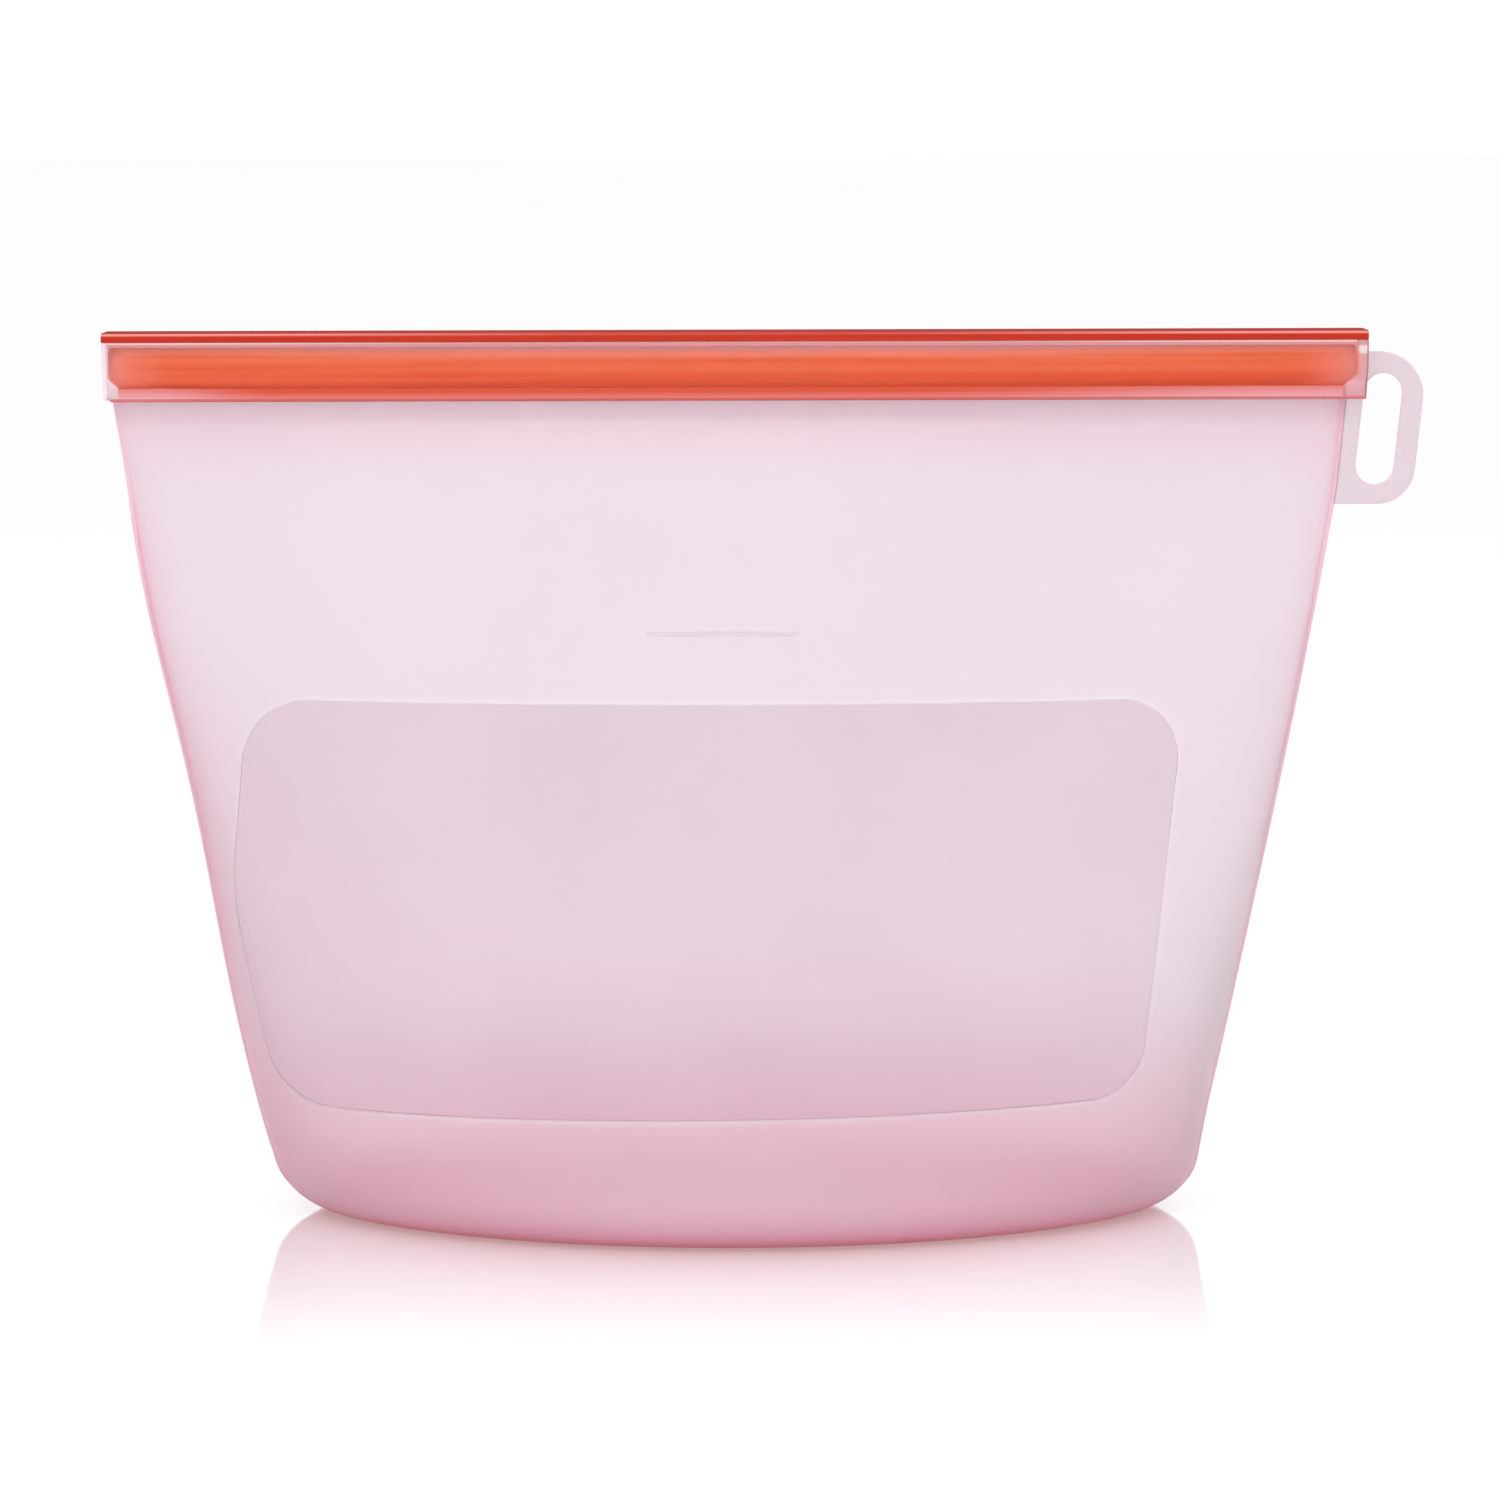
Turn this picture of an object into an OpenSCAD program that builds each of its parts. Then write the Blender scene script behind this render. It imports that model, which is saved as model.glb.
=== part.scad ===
// Reusable silicone food pouch, closed by a rigid slide bar over its two mouth beads.
// Millimetres. The origin is the centre of the flat base, on the surface it stands on.
// X runs along the mouth, Y from front to back, Z up.

/* [Pouch] */
// Width of the flat part of the base
base_w = 194.8; // [180:0.2:210]
// Depth of the flat part of the base
base_d = 94; // [70:1:110]
// Radius of the rounded edge between base and walls
base_r = 11.3; // [8:0.1:16]
// Width across the side seams at the mouth
mouth_w = 294.2; // [270:0.2:300]
// Height of the walls below the slide bar
wall_h = 195.6; // [170:0.2:220]
// Thickness of the silicone
wall_t = 1.3; // [1:0.1:1.5]
// Outward bow of the side seams at half height
side_bow = 1.8; // [0:0.2:6]

/* [Window] */
// Height of the window's lower edge at its left end
window_z = 30.2; // [26:0.1:40]
// Rise of the lower edge from left to right
window_rise = 2.6; // [0:0.1:4]
// Height of the window at its left end
window_h = 95.2; // [70:0.1:100]
// Width of the window at its lower edge
window_base_w = 205; // [150:1:206]
// Width of the window at its upper edge
window_top_w = 223.6; // [150:0.2:226]
// Offset of the window's lower edge from the pouch's centre line, towards the left
window_shift = 6.3; // [0:0.1:8]
// Offset of the window's upper edge from the centre line, towards the left
window_top_shift = 4.5; // [0:0.1:8]
// How far the full wall bows the window's left side outward
window_bow = 7.8; // [1:0.1:8]
// Corner radius of the window on the right
window_r = 14; // [8:0.5:20]
// Corner radius of the window on the left
window_left_r = 17; // [8:0.5:20]
// Step from the wall's surface down to the window's, on each side
window_step = 0.2; // [0.1:0.05:0.3]

/* [Fill mark] */
// Height of the fill mark
mark_z = 141.7; // [132:0.1:160]
// Length of the fill mark
mark_l = 36; // [20:1:60]
// Offset of the fill mark from the centre line, towards the left
mark_shift = 1.8; // [0:0.1:6]

/* [Mouth beads] */
// Height of each bead
bead_h = 10.2; // [8:0.1:11]
// Thickness of each bead, front to back
bead_t = 4.5; // [4:0.1:4.6]
// Length of the beads
bead_l = 297; // [295:0.1:297.2]

/* [Hang loop] */
// Reach of the loop past the beads at its upper corner
loop_reach = 17.2; // [15:0.1:22]
// Height of the loop
loop_h = 36.3; // [34:0.1:42]
// Thickness of the loop
loop_t = 2; // [1.6:0.1:2.4]
// Width of the slot
slot_w = 9.2; // [7:0.1:9.6]
// Length of the slot
slot_l = 26.6; // [16:0.1:28]

/* [Slide bar] */
// Length of the bar
bar_l = 300; // [299.6:0.1:310]
// Depth of the bar, front to back
bar_d = 13; // [12.8:0.1:16]
// Height of the solid spine on top
spine_h = 2.6; // [2:0.1:4]
// Height of the inturned grip lips
grip_h = 2.6; // [2:0.1:3]
// Thickness of the channel's side walls
cheek_t = 1.5; // [1.2:0.1:1.5]
// Gap between the grip lips
throat = 3.6; // [3.6:0.1:4.4]
// Thickness of the closed left end
stop_t = 0.9; // [0.6:0.1:1]

/* [Hidden] */

// Seen colours
frosted_pink = [0.93, 0.80, 0.86];
clear_pink = [0.90, 0.78, 0.84, 0.6];
deep_pink = [0.88, 0.62, 0.70];
bead_orange = [0.90, 0.42, 0.30];
clear_plastic = [0.95, 0.85, 0.88, 0.5];
spine_red = [0.80, 0.24, 0.13];

// Half the gap between the closed walls, and the clearance of the bar all round
seal_gap = 0.1;
clearance = 0.35;
// Height at which each bead starts, above the bar's grip lips
bead_z = wall_h + grip_h + clearance;
// The channel's thin top web, on which the spine sits
web_t = 0.6;
web_z = bead_z + bead_h + clearance;
spine_z = web_z + web_t;

// The beads end a little further right than left, and the bar starts at its end stop
bead_left = 0.2 - bead_l / 2;
bead_right = 0.2 + bead_l / 2;
bar_left = bead_left - clearance - stop_t;
bar_right = bar_left + bar_l;

// How the walls close: depth falls as 1 - height^closing, and runs upright into the bar
closing = 1.58;
closing_softness = 2.5;
// Sections change from an ellipse at the base towards a lens at the mouth
section_change = 0.8;

// Rings up the wall and steps along each half section
fillet_rings = 5;
wall_rings = 14;
steps = 28;

// Seam ridge: how far it stands out, and half its thickness at the tip
seam_nose = 0.7;
seam_half = 0.8;

// ---- Shape of the pouch ----

function grown_w(z) = let (u = z / wall_h)
    base_w / 2 + base_r + (mouth_w / 2 - base_w / 2 - base_r) * u + side_bow * 4 * u * (1 - u);

function grown_d(z) = let (open = (base_d / 2 + base_r) * (1 - pow(min(z / wall_h, 1), closing)))
    wall_t + seal_gap + sqrt(open * open + closing_softness * closing_softness) - closing_softness;

// A half section at one height: the curve from the right seam to the left, on the back side.
// lift moves the curve away from the centre plane, which gives the outer skin its thickness at the seams.
function half_section(z, inset, lift) = let (a = grown_w(z) - inset, b = grown_d(z) - inset - lift)
    [for (i = [0 : steps]) let (t = 180 * i / steps, bulge = pow(sin(t), 1 + section_change * min(z / wall_h, 1)))
        [a * cos(t), lift + b * bulge, z]];

// Rounded lower edge: the angle runs from 0 under the base to 90 at the wall
function fillet_angle(j) = 90 * j / fillet_rings;
function outer_fillet(f) = half_section(base_r * (1 - cos(f)), base_r * (1 - sin(f)), wall_t);
function inner_fillet(f) = let (r = base_r - wall_t)
    half_section(base_r - r * cos(f), base_r - r * sin(f), 0);

// Heights of the rings above the rounded edge, closer together near the bar
wall_zs = [for (j = [1 : wall_rings]) let (s = j / wall_rings)
    base_r + (wall_h - base_r) * (1.25 * s - 0.25 * s * s)];
upper_zs = concat(wall_zs, [bead_z]);

outer_rings = concat([for (j = [0 : fillet_rings]) outer_fillet(fillet_angle(j))],
                     [for (z = upper_zs) half_section(z, 0, wall_t)]);
inner_rings = concat([for (j = [0 : fillet_rings]) inner_fillet(fillet_angle(j))],
                     [for (z = upper_zs) half_section(z, wall_t, 0)]);

// ---- Helpers ----

function flat_list(rows) = [for (row = rows) each row];

// Triangles of a grid of points with the given number of columns
function grid_faces(rows, cols, first, flip) = [for (j = [0 : rows - 2], i = [0 : cols - 2])
    let (a = first + j * cols + i, b = a + 1, c = a + cols, d = c + 1)
    each (flip ? [[a, c, b], [b, c, d]] : [[a, b, c], [b, d, c]])];

// A shell between two grids of points of the same size, closed along its four edges
module shell(outer, inner) {
    rows = len(outer);
    cols = len(outer[0]);
    n = rows * cols;
    top = (rows - 1) * cols;
    ends = [for (j = [0 : rows - 2]) each [
        [j * cols, (j + 1) * cols, n + j * cols],
        [(j + 1) * cols, n + (j + 1) * cols, n + j * cols],
        [j * cols + cols - 1, n + j * cols + cols - 1, (j + 1) * cols + cols - 1],
        [(j + 1) * cols + cols - 1, n + j * cols + cols - 1, n + (j + 1) * cols + cols - 1]]];
    rims = [for (i = [0 : cols - 2]) each [
        [i, n + i, i + 1],
        [i + 1, n + i, n + i + 1],
        [top + i, top + i + 1, n + top + i],
        [top + i + 1, n + top + i + 1, n + top + i]]];
    polyhedron(concat(flat_list(outer), flat_list(inner)),
               concat(grid_faces(rows, cols, 0, false), grid_faces(rows, cols, n, true), ends, rims));
}

// Corner of a convex outline replaced by an arc
function arc_corner(before, corner, after, r) =
    let (d1 = (before - corner) / norm(before - corner),
         d2 = (after - corner) / norm(after - corner),
         half = acos(d1 * d2) / 2,
         centre = corner + (d1 + d2) / norm(d1 + d2) * r / sin(half),
         from = corner + d1 * r / tan(half) - centre,
         to = corner + d2 * r / tan(half) - centre,
         start = atan2(from[1], from[0]),
         turn = (atan2(to[1], to[0]) - start + 540) % 360 - 180,
         arc_steps = 6)
    [for (k = [0 : arc_steps]) centre + r * [cos(start + turn * k / arc_steps), sin(start + turn * k / arc_steps)]];

// An outline with each corner rounded by its own radius, or left sharp at 0
function rounded(points, radii) = let (n = len(points)) [for (i = [0 : n - 1])
    each (radii[i] == 0 ? [points[i]]
        : arc_corner(points[(i + n - 1) % n], points[i], points[(i + 1) % n], radii[i]))];

// Extrudes an outline drawn in X and Z from y0 to y1
module along_y(y0, y1) {
    translate([0, y1, 0])
        rotate([90, 0, 0])
            linear_extrude(y1 - y0) children();
}

// Extrudes an outline drawn in Y and Z from x0 to x1
module along_x(x0, x1) {
    translate([x0, 0, 0])
        rotate([90, 0, 90])
            linear_extrude(x1 - x0) children();
}

// ---- Pouch ----

module wall_shell() {
    shell(outer_rings, inner_rings);
}

// Window outline in X and Z: wider at the top, as the wall is, with its left side bowed just below half height
window_bow_share = 0.52;
window_bow_r = 60;
window_low_left = [-window_shift - window_base_w / 2, window_z];
window_top_left = [-window_top_shift - window_top_w / 2, window_z + window_h];
window_outline = rounded(
    [window_low_left, window_low_left + [window_base_w, window_rise],
     window_top_left + [window_top_w, 0], window_top_left,
     window_low_left + window_bow_share * (window_top_left - window_low_left) - [window_bow, 0]],
    [window_left_r, window_r, window_r, window_left_r, window_bow_r]);

module window_prism() {
    along_y(-base_d, 0)
        polygon(window_outline);
}

module front_wall() {
    color(frosted_pink)
        difference() {
            mirror([0, 1, 0]) wall_shell();
            window_prism();
        }
}

module window_panel() {
    margin = 20;
    zs = [for (z = wall_zs) if (z > window_z - margin && z < window_z + window_h + margin) z];
    color(clear_pink)
        intersection() {
            mirror([0, 1, 0])
                shell([for (z = zs) half_section(z, window_step, wall_t)],
                      [for (z = zs) half_section(z, wall_t - window_step, 0)]);
            window_prism();
        }
}

module back_wall() {
    color(frosted_pink)
        wall_shell();
}

// Flat bottom: its edge is the bevel on which both walls start
module base() {
    low = outer_rings[0];
    high = inner_rings[0];
    m = steps + 1;
    front = [for (p = low) [p[0], -p[1], p[2]]];
    front_high = [for (p = high) [p[0], -p[1], p[2]]];
    // Point lists: low back, low front, high back, high front
    points = concat(low, front, high, front_high);
    function join(i) = i % steps == 0 ? 2 * m + i : 3 * m + i;
    floor_face = concat([for (i = [0 : steps]) i], [for (i = [steps : -1 : 0]) m + i]);
    top_face = concat([for (i = [steps : -1 : 0]) 2 * m + i], [for (i = [1 : steps - 1]) 3 * m + i]);
    back_edge = [for (i = [0 : steps - 1]) each [
        [i + 1, i, 2 * m + i],
        [i + 1, 2 * m + i, 2 * m + i + 1]]];
    front_edge = [for (i = [0 : steps - 1]) each [
        [m + i, m + i + 1, join(i)],
        [m + i + 1, join(i + 1), join(i)]]];
    ends = [[0, m, 2 * m], [m + steps, steps, 2 * m + steps]];
    color(frosted_pink)
        polyhedron(points, concat([floor_face, top_face], back_edge, front_edge, ends));
}

// Seam section at one ring: inner edge, then round the outside from back to front
function seam_ring(outer, inner, nose) = [
    [inner[0], 0, inner[2]],
    [outer[0], wall_t, outer[2]],
    [outer[0] + nose, seam_half, outer[2]],
    [outer[0] + nose, -seam_half, outer[2]],
    [outer[0], -wall_t, outer[2]]];

module side_seam() {
    corners = 5;
    rings = len(outer_rings);
    rows = [for (j = [0 : rings - 1])
        seam_ring(outer_rings[j][0], inner_rings[j][0], seam_nose * sin(min(fillet_angle(j), 90)))];
    sides = [for (j = [0 : rings - 2], k = [0 : corners - 1])
        let (a = j * corners + k, b = j * corners + (k + 1) % corners, c = a + corners, d = b + corners)
        each (k == 0 ? [[a, d, b], [a, c, d]] : [[a, c, b], [b, c, d]])];
    top = (rings - 1) * corners;
    caps = concat([for (k = [1 : corners - 2]) [0, k, k + 1]],
                  [for (k = [1 : corners - 2]) [top, top + k + 1, top + k]]);
    polyhedron(flat_list(rows), concat(sides, caps));
}

module right_seam() {
    color(deep_pink)
        side_seam();
}

module left_seam() {
    color(deep_pink)
        mirror([1, 0, 0]) side_seam();
}

// Distance of the wall's outer face from the centre plane
function skin_y(x, z) = let (a = grown_w(z))
    wall_t + (grown_d(z) - wall_t) * pow(1 - x * x / (a * a), (1 + section_change * z / wall_h) / 2);

module fill_mark() {
    mark_steps = 8;
    mark_half_h = 0.45;
    mark_proud = 0.4;
    grid = function (proud) [for (z = [mark_z - mark_half_h, mark_z + mark_half_h])
        [for (i = [0 : mark_steps]) let (x = mark_l * (0.5 - i / mark_steps) - mark_shift)
            [x, skin_y(x, z) + proud, z]]];
    color(deep_pink)
        mirror([0, 1, 0])
            shell(grid(mark_proud), grid(0));
}

// ---- Mouth beads ----

// One bead on the back side, with round outer edges and round lower corners at its ends
module bead() {
    edge_r = 1.2;
    corner_r = 2;
    low_y = seal_gap;
    high_y = seal_gap + bead_t;
    top = bead_z + bead_h;
    intersection() {
        along_x(bead_left, bead_right)
            polygon(rounded([[low_y, bead_z], [high_y, bead_z], [high_y, top], [low_y, top]], [0, edge_r, edge_r, 0]));
        along_y(0, bar_d)
            polygon(rounded([[bead_left, bead_z], [bead_right, bead_z], [bead_right, top], [bead_left, top]],
                            [corner_r, corner_r, 0, 0]));
    }
}

module back_bead() {
    color(bead_orange)
        bead();
}

module front_bead() {
    color(bead_orange)
        mirror([0, 1, 0]) bead();
}

// ---- Hang loop ----

loop_top = bead_z + 8;
loop_bottom = loop_top - loop_h;
// Lean of the loop's outer edge and slot, which follow the side seam
loop_lean = 6;
slot_centre = [bead_right + 5.3, loop_top - 18.4];
// Outer line of the right seam, from ring to ring
seam_line = [for (ring = outer_rings) [ring[0][2], ring[0][0] + seam_nose]];

module hang_loop() {
    loop_corner_r = 9;
    root = [for (p = seam_line) if (p[0] > loop_bottom && p[0] < bead_z) [p[1], p[0]]];
    outline = concat(
        [[bead_right, loop_top]],
        arc_corner([bead_right, loop_top], [bead_right + loop_reach, loop_top],
                   [bead_right + loop_reach - loop_h * tan(loop_lean), loop_bottom], loop_corner_r),
        arc_corner([bead_right + loop_reach, loop_top],
                   [bead_right + loop_reach - loop_h * tan(loop_lean), loop_bottom],
                   [lookup(loop_bottom, seam_line), loop_bottom], loop_corner_r),
        [[lookup(loop_bottom, seam_line), loop_bottom]],
        root,
        [[lookup(bead_z, seam_line), bead_z], [bead_right, bead_z]]);
    color(frosted_pink)
        difference() {
            along_y(-loop_t / 2, loop_t / 2)
                polygon(outline);
            translate([slot_centre[0], 0, slot_centre[1]])
                rotate([0, loop_lean, 0])
                    slot_cutter();
        }
}

// Straight slot with round ends, standing along Z and open through Y
module slot_cutter() {
    straight = slot_l - slot_w;
    cube([slot_w, 2 * loop_t, straight], center = true);
    for (side = [-1, 1])
        translate([0, 0, side * straight / 2])
            rotate([90, 0, 0])
                cylinder(d = slot_w, h = 2 * loop_t, center = true, $fn = 48);
}

// ---- Slide bar ----

// Side view of the bar below its spine: its ends lean in a little and have cut lower corners
module bar_side_view() {
    lean = 0.5;
    cut = 0.8;
    polygon([[bar_left, spine_z], [bar_left + lean, wall_h + cut], [bar_left + lean + cut, wall_h],
             [bar_right - cut, wall_h], [bar_right - 0.2, wall_h + 3 * cut], [bar_right, spine_z]]);
}

module bar_channel() {
    half = bar_d / 2;
    edge_r = 0.5;
    color(clear_plastic)
        intersection() {
            difference() {
                along_x(bar_left + stop_t, bar_right)
                    polygon(rounded([[-half, wall_h], [half, wall_h], [half, spine_z], [-half, spine_z]],
                                    [edge_r, edge_r, 0, 0]));
                translate([bar_left - 1, -half + cheek_t, wall_h + grip_h])
                    cube([bar_l + 2, bar_d - 2 * cheek_t, web_z - wall_h - grip_h]);
                translate([bar_left - 1, -throat / 2, wall_h - 1])
                    cube([bar_l + 2, throat, grip_h + 2]);
            }
            along_y(-bar_d, bar_d) bar_side_view();
        }
}

module bar_spine() {
    half = bar_d / 2 + 0.15;
    edge_r = 0.5;
    top = spine_z + spine_h;
    color(spine_red)
        along_x(bar_left, bar_right)
            polygon(rounded([[-half, spine_z], [half, spine_z], [half, top], [-half, top]], [0, 0, edge_r, edge_r]));
}

module bar_end_stop() {
    half = bar_d / 2;
    color(clear_plastic)
        intersection() {
            along_x(bar_left, bar_left + stop_t)
                polygon([[-half, wall_h], [half, wall_h], [half, spine_z], [-half, spine_z]]);
            along_y(-bar_d, bar_d) bar_side_view();
        }
}

front_wall();
window_panel();
back_wall();
base();
left_seam();
right_seam();
fill_mark();
front_bead();
back_bead();
hang_loop();
bar_channel();
bar_spine();
bar_end_stop();
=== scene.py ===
import math

import bmesh
import bpy
import numpy as np
from mathutils import Matrix, Vector

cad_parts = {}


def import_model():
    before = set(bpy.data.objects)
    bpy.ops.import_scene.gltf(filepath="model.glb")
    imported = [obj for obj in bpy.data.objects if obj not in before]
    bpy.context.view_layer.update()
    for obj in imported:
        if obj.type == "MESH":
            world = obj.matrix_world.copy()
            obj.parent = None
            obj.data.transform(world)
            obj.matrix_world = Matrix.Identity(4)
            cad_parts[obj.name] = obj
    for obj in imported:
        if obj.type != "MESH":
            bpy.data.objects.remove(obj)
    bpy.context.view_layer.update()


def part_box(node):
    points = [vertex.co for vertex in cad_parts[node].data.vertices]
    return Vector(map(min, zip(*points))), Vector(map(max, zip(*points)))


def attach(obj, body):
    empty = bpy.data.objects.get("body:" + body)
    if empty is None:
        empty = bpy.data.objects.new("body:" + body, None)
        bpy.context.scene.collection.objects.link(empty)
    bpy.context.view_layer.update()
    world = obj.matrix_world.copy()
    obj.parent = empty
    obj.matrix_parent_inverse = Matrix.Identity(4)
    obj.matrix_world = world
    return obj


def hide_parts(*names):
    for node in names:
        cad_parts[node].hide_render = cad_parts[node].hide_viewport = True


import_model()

MM = 0.001

# ---------------------------------------------------------------- sizes: from the frame, or the part's own

base_lo, base_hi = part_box("base")
wall_lo, wall_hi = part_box("back_wall")
bead_lo, bead_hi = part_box("back_bead")
channel_lo, channel_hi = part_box("bar_channel")
spine_lo, spine_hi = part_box("bar_spine")
stop_lo, stop_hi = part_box("bar_end_stop")
loop_lo, loop_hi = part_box("hang_loop")
_, window_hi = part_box("window_panel")
mark_lo, mark_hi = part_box("fill_mark")

WALL = base_hi.z                      # thickness of the silicone
BAR_Z = channel_lo.z                  # underside of the slide bar
TOP_Z = wall_hi.z                     # where the walls run into the beads
EDGE_R = 11.3 * MM                    # rounded edge between base and walls
BASE_HALF_W = 97.4 * MM
BASE_HALF_D = 47.0 * MM
MOUTH_HALF_W = 147.1 * MM
SIDE_BOW = 1.8 * MM
SEAL_GAP = bead_lo.y
CLOSING = 1.58                        # how the depth falls with height
CLOSING_SOFTNESS = 2.5 * MM
SECTION_CHANGE = 0.8                  # ellipse at the base, towards a lens at the mouth
SEAM_NOSE = 0.7 * MM
END_ROUNDING = 1.5 * MM               # extra rounding of the base's two ends
FOOT_POINT = 0.25                     # how much the base narrows towards its ends
SPINE_TOP = spine_hi.z - 0.4 * MM     # top of the bar's slightly hollow back
RIGHT_LEAN = 0.45 * MM                # how far the bar's right end leans in at its foot
LEAN_FROM, LEAN_TO = 8 * MM, 2 * MM   # heights over the bar's underside between which that lean grows

ARC = EDGE_R * math.pi / 2            # length of the rounded edge up the skin
SKIN_H = ARC + TOP_Z - EDGE_R         # length of the skin from base to bead

# ---------------------------------------------------------------- shape of the pouch


def smooth(x):
    x = np.clip(x, 0, 1)
    return x * x * (3 - 2 * x)


def grown_w(z):
    u = z / BAR_Z
    start = BASE_HALF_W + EDGE_R
    return start + (MOUTH_HALF_W - start) * u + SIDE_BOW * 4 * u * (1 - u)


def grown_d(z):
    opening = (BASE_HALF_D + EDGE_R) * (1 - np.minimum(z / BAR_Z, 1) ** CLOSING)
    return WALL + SEAL_GAP + np.sqrt(opening**2 + CLOSING_SOFTNESS**2) - CLOSING_SOFTNESS


def settle(x, y, z, t, side):
    """How the filled bag has settled, as points moved in x and y."""
    left, right = np.clip(-np.cos(t), 0, 1) ** 2, np.clip(np.cos(t), 0, 1) ** 2
    # The base is nudged to the right
    x = x + (0.6 - 0.35 * np.cos(t)) * MM * (1 - smooth(z / (25 * MM)))
    # The left side is wavy, and more so higher up
    crest, crest_gap = 40 * MM, 112 * MM
    fade = smooth(z / (30 * MM)) * (1 - smooth((z - 165 * MM) / (25 * MM)))
    swing = 0.35 * MM + 0.0037 * z
    x = x - swing * left * fade * np.cos(2 * math.pi * (z - crest) / crest_gap)
    # The right side is drawn in, most of all under the bar
    x = x - 0.65 * MM * right * smooth(z / (30 * MM)) * (1 - 0.6 * smooth((z - 60 * MM) / (90 * MM)))
    x = x - 1.45 * MM * right**4 * np.clip((z - 174 * MM) / (22 * MM), 0, 1)
    # The walls are slack between foot and bar
    slack = np.sin(t) ** 2 * smooth((z - 20 * MM) / (50 * MM)) * (1 - smooth((z - 150 * MM) / (40 * MM)))
    wave = 0.5 * np.cos(3.1 * t + side) + 0.35 * np.cos(5.3 * t - 45 * z + 2 * side)
    y = y - side * slack * (0.7 + wave) * MM
    return x, y


def skin(t, w, depth, side):
    """Points of a wall: t runs from 0 at the right seam to pi at the left, w is the way up the skin,
    depth is in from the outer face, and side is 1 for the back and -1 for the front."""
    t, w, depth = np.broadcast_arrays(t, w, depth)
    f = np.clip(w / ARC, 0, 1) * math.pi / 2
    r = EDGE_R - depth
    z = np.where(w < ARC, EDGE_R - r * np.cos(f), EDGE_R + w - ARC)
    inset = np.where(w < ARC, EDGE_R - r * np.sin(f), depth)
    inset = inset + END_ROUNDING * (1 - np.sin(f)) * np.cos(t) ** 2
    lift = WALL - depth
    low = FOOT_POINT * (1 - smooth(z / (25 * MM)))
    bulge = np.sin(t) ** (1 + low + SECTION_CHANGE * np.minimum(z / BAR_Z, 1))
    # The inner faces run almost to the seam
    x = (grown_w(z) - inset + 0.75 * depth * smooth(w / ARC)) * np.cos(t)
    y = lift + (grown_d(z) - inset - lift) * bulge
    x, y = settle(x, side * y, z, t, side)
    return np.stack([x, y, z], axis=-1)


def to_skin(xz):
    """Skin coordinates of points given by x and height."""
    x, z = xz[..., 0], xz[..., 1]
    return np.stack([np.arccos(np.clip(x / grown_w(z), -1, 1)), ARC + z - EDGE_R], axis=-1)


# ---------------------------------------------------------------- mesh helpers


class Builder:
    """Collects grids of points as quads and joins what meets. Each grid has a material number and a tint."""

    def __init__(self):
        self.points, self.faces, self.numbers, self.tints, self.count = [], [], [], [], 0

    def add(self, points, tint):
        points = points.reshape(-1, 3)
        self.points.append(points)
        self.tints.append(np.broadcast_to(tint, len(points)) if np.ndim(tint) == 0 else np.reshape(tint, -1))
        self.count += len(points)

    def grid(self, points, wrap=False, number=0, tint=0.0):
        rows, cols = points.shape[:2]
        first = self.count
        self.add(points, tint)
        last = cols if wrap else cols - 1
        for j in range(rows - 1):
            for i in range(last):
                a = first + j * cols + i
                b = first + j * cols + (i + 1) % cols
                self.faces.append((a, b, b + cols, a + cols))
                self.numbers.append(number)

    def fan(self, ring, centre, steps=12, tint=0.0, number=0):
        """A disc that fills a closed ring."""
        shares = np.linspace(0, 1, steps + 1)[:-1]
        rings = np.array([ring * (1 - s) + centre * s for s in shares])
        tint = np.broadcast_to(tint, steps)
        self.grid(rings, wrap=True, tint=np.repeat(tint, len(ring)), number=number)
        first = self.count - len(ring)
        self.add(np.array([centre]), float(tint[-1]))
        for i in range(len(ring)):
            self.faces.append((first + i, first + (i + 1) % len(ring), self.count - 1))
            self.numbers.append(number)

    def build(self, name, materials, smooth_angle=40):
        mesh = bpy.data.meshes.new(name)
        mesh.from_pydata(np.concatenate(self.points).tolist(), [], self.faces)
        mesh.polygons.foreach_set("material_index", self.numbers)
        tint = mesh.attributes.new("tint", "FLOAT", "POINT")
        tint.data.foreach_set("value", np.concatenate(self.tints).astype(np.float32))
        bm = bmesh.new()
        bm.from_mesh(mesh)
        bmesh.ops.remove_doubles(bm, verts=bm.verts, dist=2e-6)
        bmesh.ops.dissolve_degenerate(bm, dist=1e-7, edges=bm.edges)
        bmesh.ops.recalc_face_normals(bm, faces=bm.faces)
        bm.to_mesh(mesh)
        bm.free()
        for material in materials:
            mesh.materials.append(material)
        piece = bpy.data.objects.new(name, mesh)
        bpy.context.scene.collection.objects.link(piece)
        mesh.shade_smooth()
        mesh.set_sharp_from_angle(angle=math.radians(smooth_angle))
        return piece


def arc_points(centre, r, start, turn, steps):
    angles = start + turn * np.linspace(0, 1, steps + 1)
    return np.asarray(centre) + r * np.stack([np.cos(angles), np.sin(angles)], axis=-1)


def rounded_outline(corners, radii, steps=12):
    """A closed outline with each corner replaced by an arc, or left sharp at 0."""
    points = []
    for i, r in enumerate(radii):
        corner = np.array(corners[i], float)
        if r == 0:
            points.append(corner[None])
            continue
        before = np.array(corners[i - 1], float) - corner
        after = np.array(corners[(i + 1) % len(corners)], float) - corner
        before /= np.linalg.norm(before)
        after /= np.linalg.norm(after)
        half = math.acos(np.clip(before @ after, -1, 1)) / 2
        middle = before + after
        centre = corner + middle / np.linalg.norm(middle) * r / math.sin(half)
        start = corner + before * r / math.tan(half) - centre
        end = corner + after * r / math.tan(half) - centre
        a0 = math.atan2(start[1], start[0])
        turn = (math.atan2(end[1], end[0]) - a0 + math.pi) % (2 * math.pi) - math.pi
        points.append(arc_points(centre, r, a0, turn, steps))
    return np.concatenate(points)


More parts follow.
